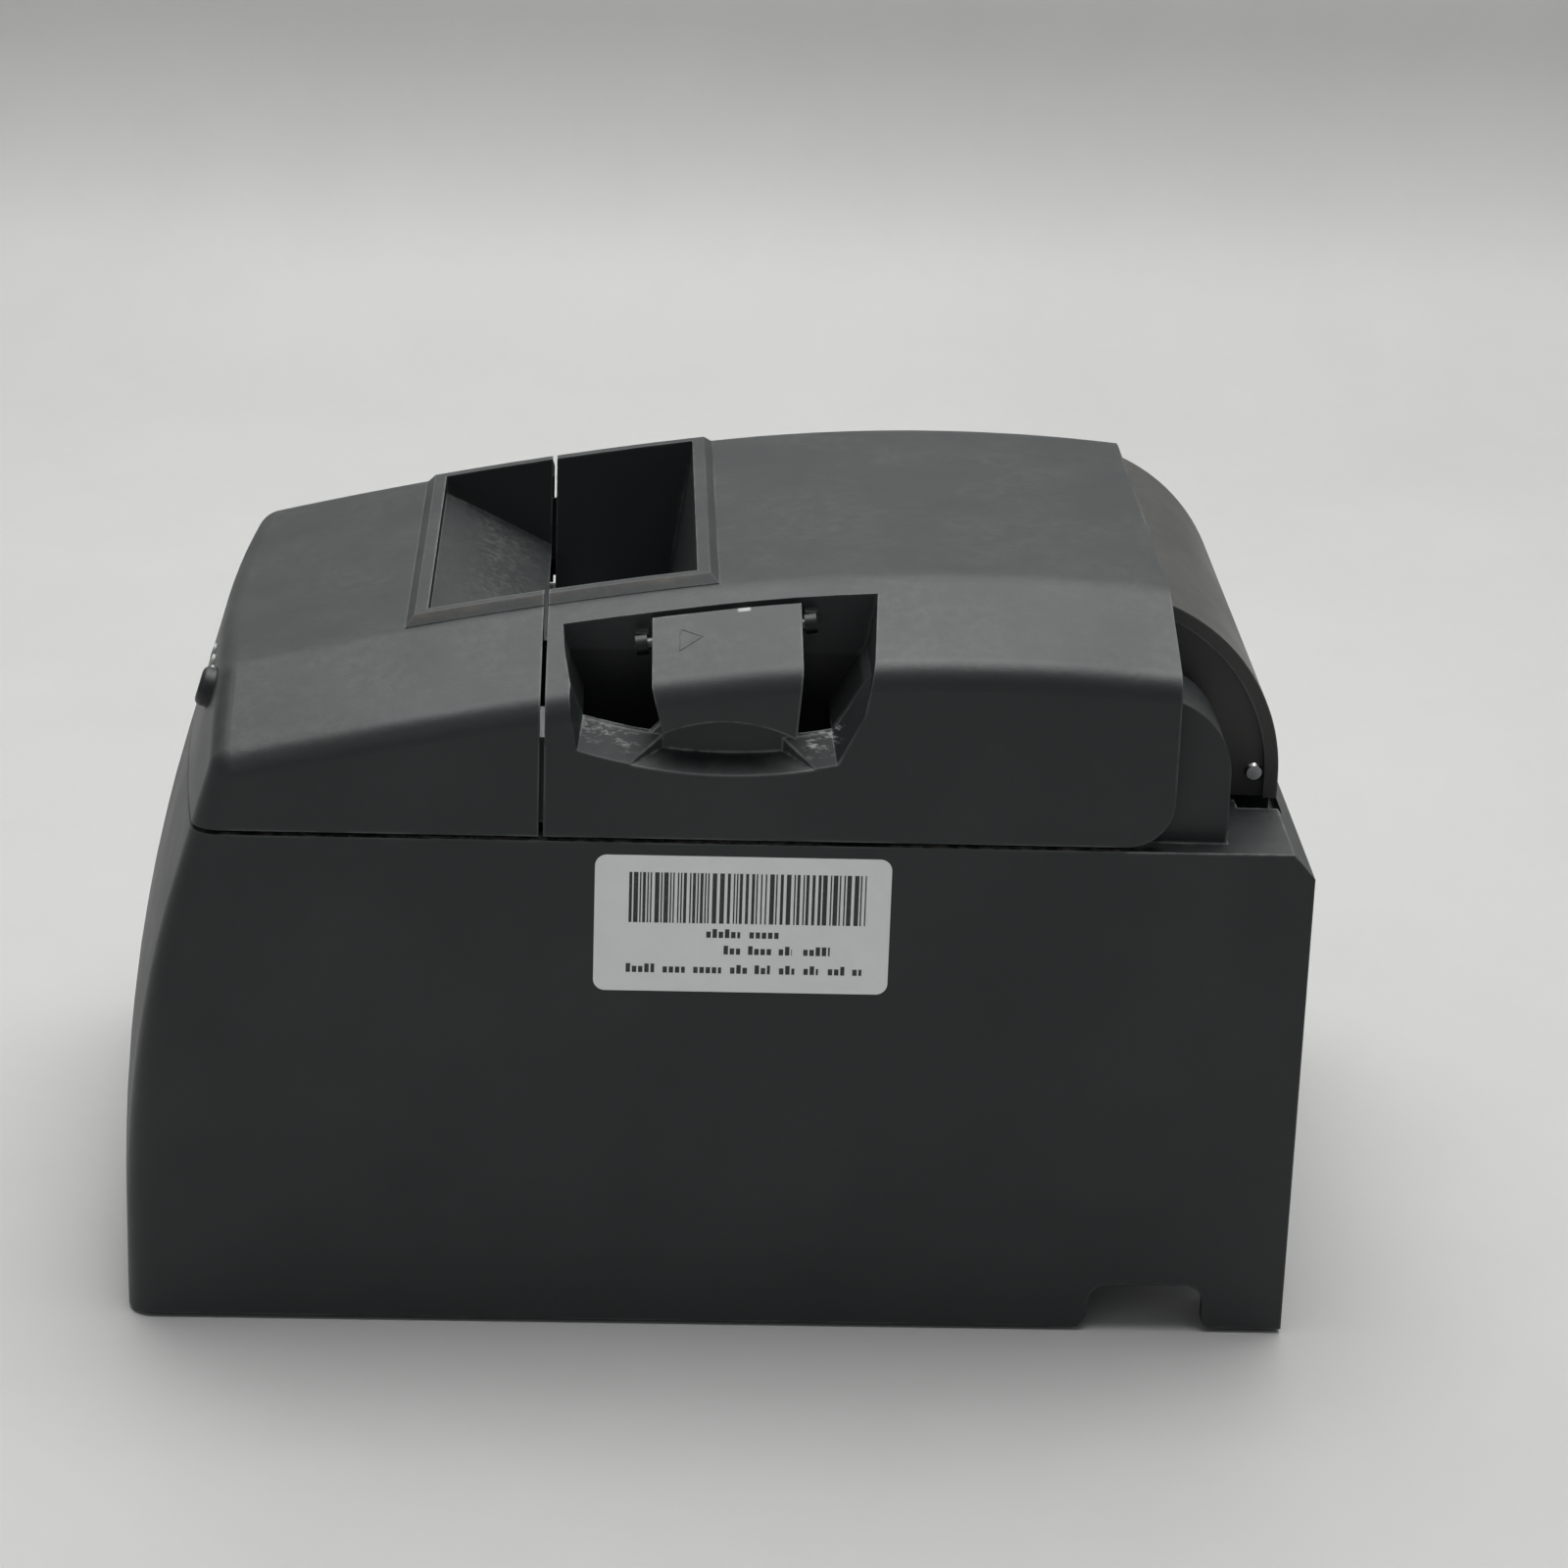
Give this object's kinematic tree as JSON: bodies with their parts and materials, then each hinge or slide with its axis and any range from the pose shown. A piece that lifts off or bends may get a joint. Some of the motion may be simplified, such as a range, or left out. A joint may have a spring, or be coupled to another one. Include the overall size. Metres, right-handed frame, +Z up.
{
  "type": "receipt printer",
  "caption": "Thermal receipt printer with a hinged paper-roll cover, a side release lever, a top paper exit with cutter, and rear connectors.",
  "frame": {"origin": "on the table under the middle of the outer box", "axes": "+Z up, -Y towards the front face with the feed button, +X towards the release lever"},
  "size_m": [0.1421, 0.206, 0.1302],
  "materials": {
    "case_plastic": "fine-textured charcoal plastic",
    "cover_plastic": "fine-textured charcoal plastic",
    "shell_plastic": "smooth satin charcoal plastic",
    "lever_plastic": "fine-textured charcoal plastic",
    "button_plastic": "matt black plastic",
    "lens": "frosted clear plastic",
    "bright_steel": "ground steel",
    "sheet_steel": "zinc-plated sheet steel",
    "blade_steel": "hardened and ground steel",
    "spring_steel": "spring wire",
    "screw_steel": "plated steel",
    "platen_rubber": "ground rubber",
    "foot_rubber": "moulded rubber",
    "gear_plastic": "natural acetal",
    "bearing_plastic": "acetal",
    "tray_plastic": "matt black plastic",
    "motor_steel": "black-plated steel",
    "heatsink_aluminium": "extruded aluminium",
    "head_ceramic": "glazed ceramic",
    "board_green": "solder-masked circuit board",
    "socket_plastic": "black moulded plastic",
    "socket_metal": "tin-plated steel",
    "sensor_plastic": "black plastic",
    "cable_film": "flat-cable film",
    "label_paper": "coated white paper"
  },
  "bodies": {
    "body": {"lower_case": "case_plastic", "front_cover": "cover_plastic", "idler_post": "bright_steel", "feed_motor": "motor_steel", "chassis_frame": "sheet_steel", "latch_catch": "bright_steel", "paper_tray": "tray_plastic", "head_pivot_pin": "bright_steel", "head_springs": "spring_steel", "cutter_frame": "sheet_steel", "cutter_cover": "sheet_steel", "cutter_motor": "motor_steel", "status_lenses": "lens", "control_board": "board_green", "switch_body": "socket_plastic", "base_plate": "sheet_steel", "front_feet": "foot_rubber", "rear_feet": "foot_rubber", "base_screws": "screw_steel", "chassis_screws": "screw_steel", "main_board": "board_green", "interface_board": "board_green", "interface_plate": "sheet_steel", "power_socket": "socket_plastic", "drawer_socket": "socket_plastic", "usb_socket": "socket_metal", "network_socket": "socket_metal", "interface_screws": "screw_steel", "paper_sensor": "sensor_plastic", "near_end_sensor": "sensor_plastic", "head_cable": "cable_film", "side_label": "label_paper"},
    "cover": {"rear_cover": "cover_plastic", "roll_shell": "shell_plastic", "hinge_shaft": "bright_steel", "hinge_clips": "spring_steel", "inner_frame": "sheet_steel", "frame_screws": "screw_steel", "fixed_blade": "blade_steel", "tear_bar": "blade_steel", "platen_bushes": "bearing_plastic", "lever_pin": "bright_steel", "lever_spring": "spring_steel"},
    "platen": {"platen_roller": "platen_rubber", "platen_shaft": "bright_steel", "platen_gear": "gear_plastic"},
    "idler": {"idler_gear": "gear_plastic"},
    "pinion": {"motor_pinion": "bright_steel"},
    "head": {"thermal_head": "head_ceramic", "head_heatsink": "heatsink_aluminium"},
    "lever": {"release_lever": "lever_plastic"},
    "blade": {"moving_blade": "blade_steel", "blade_rack": "gear_plastic"},
    "cutter_drive": {"cutter_pinion": "gear_plastic"},
    "button": {"feed_button": "button_plastic"},
    "rocker": {"switch_rocker": "button_plastic"}
  },
  "joints": [
    {"name": "cover_hinge", "type": "hinge", "parent": "body", "child": "cover", "pos_m": [0, 0.0952, 0.0954], "axis": [-1, 0, 0], "range_deg": [0, 88]},
    {"name": "platen_spin", "type": "hinge", "parent": "cover", "child": "platen", "pos_m": [0, -0.019, 0.084], "axis": [1, 0, 0], "continuous": true},
    {"name": "idler_spin", "type": "hinge", "parent": "body", "child": "idler", "pos_m": [-0.051, -0.019, 0.058], "axis": [1, 0, 0], "continuous": true},
    {"name": "pinion_spin", "type": "hinge", "parent": "body", "child": "pinion", "pos_m": [-0.051, -0.03892, 0.0465], "axis": [1, 0, 0], "continuous": true},
    {"name": "head_pivot", "type": "hinge", "parent": "body", "child": "head", "pos_m": [0, -0.0292, 0.07], "axis": [1, 0, 0], "range_deg": [0, 3], "stiffness_Nm_per_rad": 2, "springref_deg": -2.86, "deforming": ["head_springs"]},
    {"name": "lever_pull", "type": "hinge", "parent": "cover", "child": "lever", "pos_m": [0.0535, -0.0098, 0.11943], "axis": [0, -0.9884, -0.1522], "range_deg": [0, 20], "stiffness_Nm_per_rad": 0.05, "springref_deg": -17.19},
    {"name": "blade_slide", "type": "slide", "parent": "body", "child": "blade", "axis": [0, 1, 0], "range_m": [0, 0.009]},
    {"name": "cutter_spin", "type": "hinge", "parent": "body", "child": "cutter_drive", "pos_m": [-0.022, -0.0549, 0.0933], "axis": [0, 0, 1], "range_deg": [-95, 0]},
    {"name": "button_press", "type": "slide", "parent": "body", "child": "button", "axis": [0, 0.9588, -0.284], "range_m": [0, 0.0012], "stiffness_N_per_m": 300, "springref_m": -0.0005},
    {"name": "rocker_tilt", "type": "hinge", "parent": "body", "child": "rocker", "pos_m": [-0.048, -0.09709, 0.025], "axis": [1, 0, 0], "range_deg": [0, 16]}
  ],
  "couplings": [
    {"joint": "idler_spin", "follows": "platen_spin", "ratio": -0.52941},
    {"joint": "pinion_spin", "follows": "platen_spin", "ratio": 1.5},
    {"joint": "cutter_spin", "follows": "blade_slide", "rad_per_m": -178.57}
  ]
}
